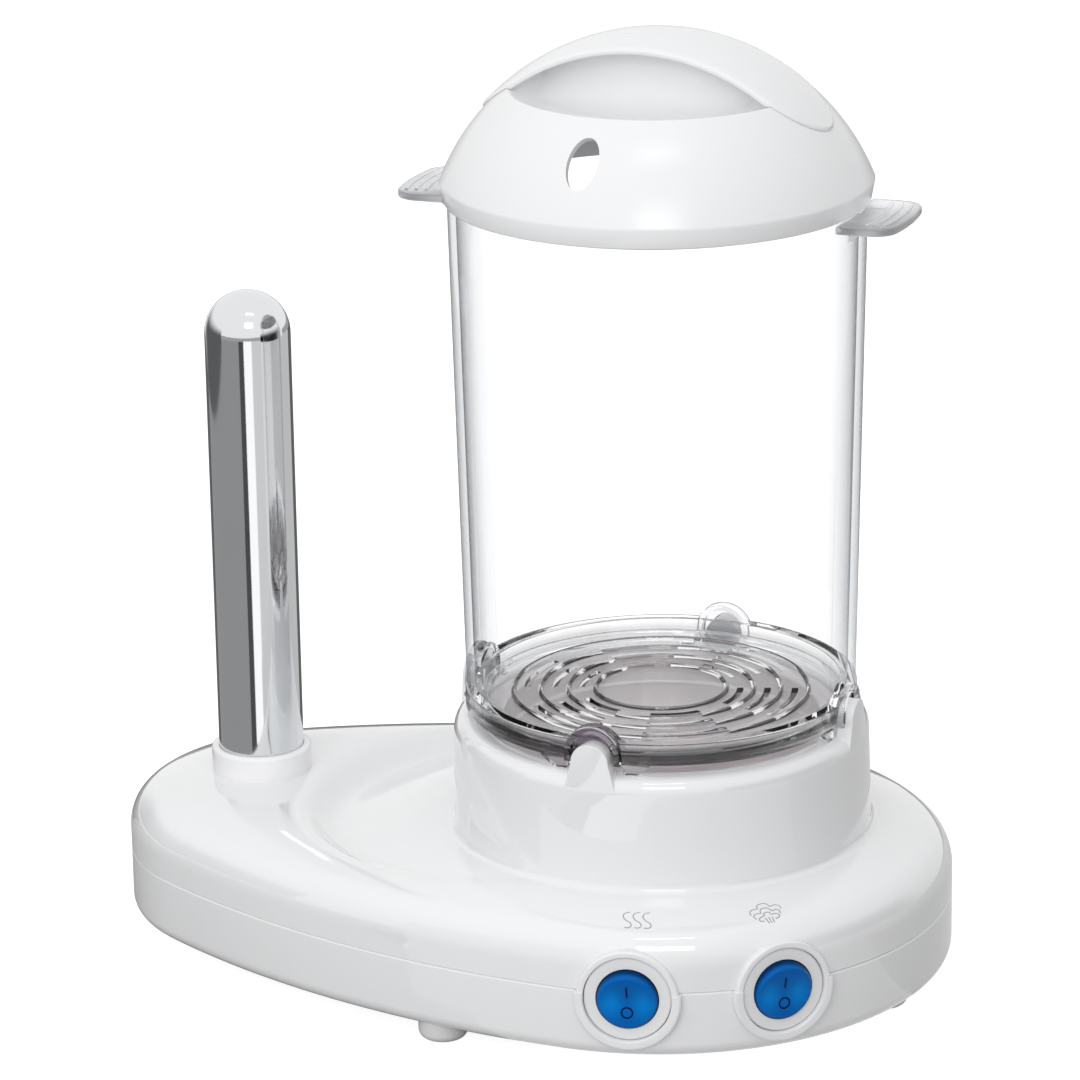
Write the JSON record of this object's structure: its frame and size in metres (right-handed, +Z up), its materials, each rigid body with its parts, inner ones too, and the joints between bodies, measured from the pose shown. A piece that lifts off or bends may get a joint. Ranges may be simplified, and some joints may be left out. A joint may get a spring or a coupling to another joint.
{
  "type": "hot dog cooker",
  "caption": "Countertop cooker: oval white base with a heated metal spike, two round switches, and a clear lidded steam container on a collar over a water dish.",
  "frame": {"origin": "on the table under the middle of the base's bounding box", "axes": "+X along the base towards the container, -Y to the front with the switches, +Z up along the spike and the container"},
  "size_m": [0.317, 0.2168, 0.353],
  "materials": {
    "white_gloss": "gloss",
    "white_satin": "satin",
    "rubber_grey": "matte",
    "chrome": "polished",
    "steel": "satin",
    "aluminium": "satin",
    "silicone": "matte",
    "clear": "clear",
    "cream": "gloss",
    "blue": "gloss",
    "brass": "satin",
    "block_white": "matte",
    "grey_plastic": "matte"
  },
  "bodies": {
    "base": {"base_upper_housing": "white_gloss", "base_lower_housing": "white_gloss", "feet": "rubber_grey", "housing_screws": "steel", "spike_tube": "chrome", "spike_ring": "white_satin", "spike_nut": "block_white", "spike_heater": "steel", "water_dish": "aluminium", "dish_seal": "silicone", "dish_retainer": "steel", "dish_heater": "steel", "thermostat": "steel", "thermostat_bracket": "steel", "thermal_fuse": "grey_plastic", "inlet_bush": "rubber_grey", "terminal_block": "block_white", "spike_switch_body": "cream", "dish_switch_body": "cream", "spike_switch_terminals": "brass", "dish_switch_terminals": "brass"},
    "spike_rocker": {"spike_switch_rocker": "blue"},
    "dish_rocker": {"dish_switch_rocker": "blue"},
    "container": {"container": "clear", "container_floor": "clear"},
    "lid": {"lid_dome": "white_gloss", "lid_handle": "white_gloss"}
  },
  "joints": [
    {"name": "spike_rocker_tilt", "type": "hinge", "parent": "base", "child": "spike_rocker", "pos_m": [0.07471, -0.10056, 0.03], "axis": [0.9744, 0.225, 0], "range_deg": [-14, 0]},
    {"name": "dish_rocker_tilt", "type": "hinge", "parent": "base", "child": "dish_rocker", "pos_m": [0.12188, -0.07548, 0.03], "axis": [0.7314, 0.682, 0], "range_deg": [-14, 0]},
    {"name": "container_lift", "type": "slide", "parent": "base", "child": "container", "axis": [0, 0, 1], "range_m": [0, 0.06]},
    {"name": "lid_lift", "type": "slide", "parent": "container", "child": "lid", "axis": [0, 0, 1], "range_m": [0, 0.08]}
  ]
}
